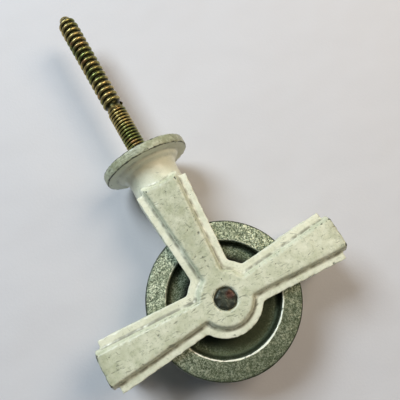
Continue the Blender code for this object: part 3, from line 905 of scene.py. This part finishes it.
class BoltMesh:
    """Gathers rings and threads about Z into one closed skin."""

    PLAIN_DEPTH = 0.25    # how much painted root shade the plain stretches get; a thread's root gets 1

    def __init__(self, steps):
        self.steps = steps
        self.points = []
        self.depths = []
        self.faces = []

    def point(self, step, radius, height, depth):
        """Add a point and return its number."""
        angle = math.tau * step / self.steps
        self.points.append((radius * math.cos(angle), radius * math.sin(angle), height))
        self.depths.append(depth)
        return len(self.points) - 1

    def ring(self, radius, height):
        """Add a plain ring of points."""
        return [self.point(step, radius, height, self.PLAIN_DEPTH) for step in range(self.steps)]

    def join(self, lower, upper):
        """Skin the gap between two rings."""
        for step in range(self.steps):
            after = (step + 1) % self.steps
            self.faces.append((lower[step], lower[after], upper[after], upper[step]))

    def thread(self, ring, start, stop, pitch, columns, radius_at, closing_radius):
        """Skin a helical thread on to a ring and return the ring that ends it."""
        steps = self.steps
        rows = []
        for row, entries in enumerate(thread_rows(start, stop, pitch, columns, steps, radius_at)):
            rows.append([self.point(row, *entry) for entry in entries])
        last = len(rows) - 1
        for row in range(last):
            for column in range(columns - 1):
                self.faces.append((rows[row][column], rows[row + 1][column],
                                   rows[row + 1][column + 1], rows[row][column + 1]))
        for row in range(last - steps):
            self.faces.append((rows[row][-1], rows[row + 1][-1],
                               rows[row + 1 + steps][0], rows[row + steps][0]))
        for row in range(steps):
            self.faces.append((ring[row], ring[(row + 1) % steps], rows[row + 1][0], rows[row][0]))
        first_cut = [rows[steps][0]] + rows[0][::-1]
        self.faces.extend((ring[0], one, two) for one, two in zip(first_cut, first_cut[1:]))
        closing = self.ring(closing_radius, stop)
        for row in range(steps):
            lower = last - steps + row
            self.faces.append((rows[lower][-1], rows[lower + 1][-1],
                               closing[(row + 1) % steps], closing[row]))
        last_cut = [rows[last - steps][-1]] + rows[last]
        self.faces.extend((closing[0], one, two) for one, two in zip(last_cut, last_cut[1:]))
        return closing


class PULLEY_OT_bolt(Operator):
    """Make the yellow zinc-plated hanger bolt"""

    bl_idname = "pulley.bolt"
    bl_label = "Build Bolt"

    STEPS = 48
    MACHINE_COLUMNS = 10         # points across one pitch of each thread
    SCREW_COLUMNS = 14
    THREAD_RUN_IN = 3.0 * MM     # the fine thread starts this deep in the flange
    ROLLED_OUT = 0.47 * MM       # a rolled thread stands this far out of its shank
    RUN_OUT = 0.35               # share of a pitch in which a thread dies out
    ROOT_FLAT = 0.10             # share of the half pitch that is flat root
    FLANK = 0.72                 # share of the half pitch that slopes
    END_STEP = 0.12 * MM         # drop from a thread's root to the ring beside it
    TIP_LENGTH = 1.7 * MM
    TIP_NARROWING = 0.6 * MM     # how much thinner the core is at the tip
    TIP_TURN = 13.0              # degrees between the rings of the round tip
    TIP_RINGS = 6

    def execute(self, context):
        settings = context.scene.pulley_bolt
        machine_start = -self.THREAD_RUN_IN
        machine_stop = settings.machine_length
        machine_core = settings.machine_radius - settings.machine_depth
        screw_start = machine_stop + settings.plain_length
        screw_core = settings.screw_radius - settings.screw_depth
        tip = bolt_high.y
        screw_stop = tip - self.TIP_LENGTH
        plain = settings.machine_radius - self.ROLLED_OUT

        def machine_at(height, share):
            near = min(height - machine_start, machine_stop - height)
            fullness = min(1.0, max(0.0, near / (self.RUN_OUT * settings.machine_pitch)))
            flank = abs(2.0 * ((share + 0.5) % 1.0) - 1.0)
            rise = min(1.0, max(0.0, (flank - self.ROOT_FLAT) / self.FLANK))
            rise = rise * rise * (3.0 - 2.0 * rise)
            return machine_core + settings.machine_depth * rise * fullness, 1.0 - rise

        def screw_at(height, share):
            near = min(height - screw_start, screw_stop - height)
            fullness = min(1.0, max(0.0, near / (self.RUN_OUT * settings.screw_pitch)))
            narrowing = max(0.0, 1.0 - (screw_stop - height) / (1.5 * settings.screw_pitch))
            rise = (0.5 - 0.5 * math.cos(math.tau * share)) ** 0.7
            core = screw_core - self.TIP_NARROWING * min(1.0, narrowing)
            return core + settings.screw_depth * rise * fullness, 1.0 - rise

        skin = BoltMesh(self.STEPS)
        foot = skin.ring(plain - 0.5 * MM, bolt_low.y)
        edge = skin.ring(plain, bolt_low.y + 0.6 * MM)
        shank = skin.ring(plain, machine_start - 0.7 * MM)
        run_in = skin.ring(machine_core - self.END_STEP, machine_start - 0.2 * MM)
        skin.faces.append(tuple(reversed(foot)))
        for lower, upper in ((foot, edge), (edge, shank), (shank, run_in)):
            skin.join(lower, upper)
        machine_end = skin.thread(run_in, machine_start, machine_stop, settings.machine_pitch,
                                  self.MACHINE_COLUMNS, machine_at, machine_core - self.END_STEP)
        neck = skin.ring(plain, machine_stop + 0.1 * MM)
        neck_end = skin.ring(plain, screw_start - 0.2 * MM)
        screw_foot = skin.ring(screw_core - self.END_STEP, screw_start - 0.1 * MM)
        for lower, upper in ((machine_end, neck), (neck, neck_end), (neck_end, screw_foot)):
            skin.join(lower, upper)
        end_radius = screw_core - self.TIP_NARROWING - self.END_STEP
        previous = skin.thread(screw_foot, screw_start, screw_stop, settings.screw_pitch,
                               self.SCREW_COLUMNS, screw_at, end_radius)
        steepest = math.sin(math.radians(self.TIP_TURN * self.TIP_RINGS))
        for step in range(1, self.TIP_RINGS + 1):
            angle = math.radians(self.TIP_TURN * step)
            height = screw_stop + (tip - screw_stop) * math.sin(angle) / steepest
            following = skin.ring(end_radius * math.cos(angle), height)
            skin.join(previous, following)
            previous = following
        skin.faces.append(tuple(previous))

        turned = np.array(skin.points)[:, [0, 2, 1]] * np.array((1.0, 1.0, -1.0))
        bolt = add_piece("hanger_bolt_finished", turned, skin.faces, "yoke_body",
                         "hanger_bolt")
        store_value(bolt.data, "thread_depth", skin.depths)
        bolt.data.materials.append(yellow_zinc(settings))
        return {"FINISHED"}


# ---------------- stage

CAMERA_PLACE = (-0.0110, -0.0546, 0.1620)
CAMERA_TARGET = (0.0114, -0.0262, 0.0)
CAMERA_ROLL = -30.4          # degrees about the line of sight

FLOOR_HALF = 2.0             # metres from the middle of the floor to its edge
FLOOR_GAP = 0.05 * MM        # the floor lies this far under the pulley

# name, setting, width, colour and place beside the middle of the pulley
LIGHTS = (
    ("window_light", "key_power", 0.34, (0.80, 0.91, 1.0), (-0.19, 0.52, 0.60)),
    ("lamp_light", "warm_power", 0.30, (1.0, 0.73, 0.43), (0.37, 0.04, 0.44)),
    ("ceiling_light", "ceiling_power", 0.30, (1.0, 0.98, 0.96), (0.42, 0.09, 0.66)),
)
SKY_COLOUR = (0.86, 0.92, 1.0, 1.0)


def aimed(thing, place, target, roll=0.0):
    """Put a light or camera at a place, looking at a target with +Y up, then rolled."""
    back = (Vector(place) - Vector(target)).normalized()
    side = Vector((0.0, 1.0, 0.0)).cross(back).normalized()
    turn = Matrix((side, back.cross(side), back)).transposed() @ Matrix.Rotation(roll, 3, "Z")
    thing.matrix_world = Matrix.LocRotScale(Vector(place), turn.to_quaternion(), None)
    put_in_scene(thing)


def add_light(name, power, size, colour, place, target):
    """Add one soft square light."""
    light = bpy.data.lights.new(name, "AREA")
    light.energy = power
    light.size = size
    light.color = colour
    aimed(bpy.data.objects.new(name, light), place, target)


class PULLEY_OT_stage(Operator):
    """Make the pale floor, the soft light and the camera"""

    bl_idname = "pulley.stage"
    bl_label = "Build Stage"

    def execute(self, context):
        settings = context.scene.pulley_stage
        centre = Vector((0.0, AXLE.y * 0.6, 0.0))
        level = cad_box[0][2] - FLOOR_GAP
        corners = [(FLOOR_HALF * x, FLOOR_HALF * y, level)
                   for x, y in ((-1, -1), (1, -1), (1, 1), (-1, 1))]
        mesh = bpy.data.meshes.new("floor")
        mesh.from_pydata(corners, [], [(0, 1, 2, 3)])
        mesh.materials.append(pale_floor(settings))
        floor = bpy.data.objects.new("floor", mesh)
        put_in_scene(floor)

        for name, power, width, colour, place in LIGHTS:
            add_light(name, getattr(settings, power), width, colour, centre + Vector(place), centre)
        world = bpy.data.worlds.new("soft_sky")
        world.use_nodes = True
        sky = world.node_tree.nodes["Background"]
        sky.inputs["Color"].default_value = SKY_COLOUR
        sky.inputs["Strength"].default_value = settings.sky_strength
        context.scene.world = world
        context.scene.view_settings.view_transform = "Standard"

        camera_data = bpy.data.cameras.new("camera")
        camera_data.lens = settings.lens
        camera_data.sensor_width = 36.0
        camera_data.clip_start = 0.01
        camera = bpy.data.objects.new("camera", camera_data)
        aimed(camera, CAMERA_PLACE, CAMERA_TARGET, math.radians(CAMERA_ROLL))
        context.scene.camera = camera
        return {"FINISHED"}


# ---------------- panel


class PULLEY_PT_sidebar(Panel):
    """Lists the steps that build the pulley"""

    bl_label = "Clothes-Line Pulley"
    bl_idname = "PULLEY_PT_sidebar"
    bl_space_type = "VIEW_3D"
    bl_region_type = "UI"
    bl_category = "Pulley"

    def draw(self, context):
        for step in STEPS:
            self.layout.operator(step.bl_idname)


SETTINGS = {
    "pulley_casting": CastingSettings,
    "pulley_wheel": WheelSettings,
    "pulley_rivet": RivetSettings,
    "pulley_bolt": BoltSettings,
    "pulley_stage": StageSettings,
}
STEPS = (PULLEY_OT_effects, PULLEY_OT_yoke, PULLEY_OT_wheel, PULLEY_OT_rivet, PULLEY_OT_bolt,
         PULLEY_OT_stage)


def register():
    """Register the settings, operators and panel."""
    for name, group in SETTINGS.items():
        bpy.utils.register_class(group)
        setattr(bpy.types.Scene, name, PointerProperty(type=group))
    for step in STEPS:
        bpy.utils.register_class(step)
    bpy.utils.register_class(PULLEY_PT_sidebar)


def unregister():
    """Remove everything that register added."""
    bpy.utils.unregister_class(PULLEY_PT_sidebar)
    for step in reversed(STEPS):
        bpy.utils.unregister_class(step)
    for name, group in SETTINGS.items():
        delattr(bpy.types.Scene, name)
        bpy.utils.unregister_class(group)


def main():
    """Build the whole pulley."""
    register()
    bpy.ops.pulley.effects()
    bpy.ops.pulley.yoke()
    bpy.ops.pulley.wheel()
    bpy.ops.pulley.rivet()
    bpy.ops.pulley.bolt()
    bpy.ops.pulley.stage()


if __name__ == "__main__":
    main()
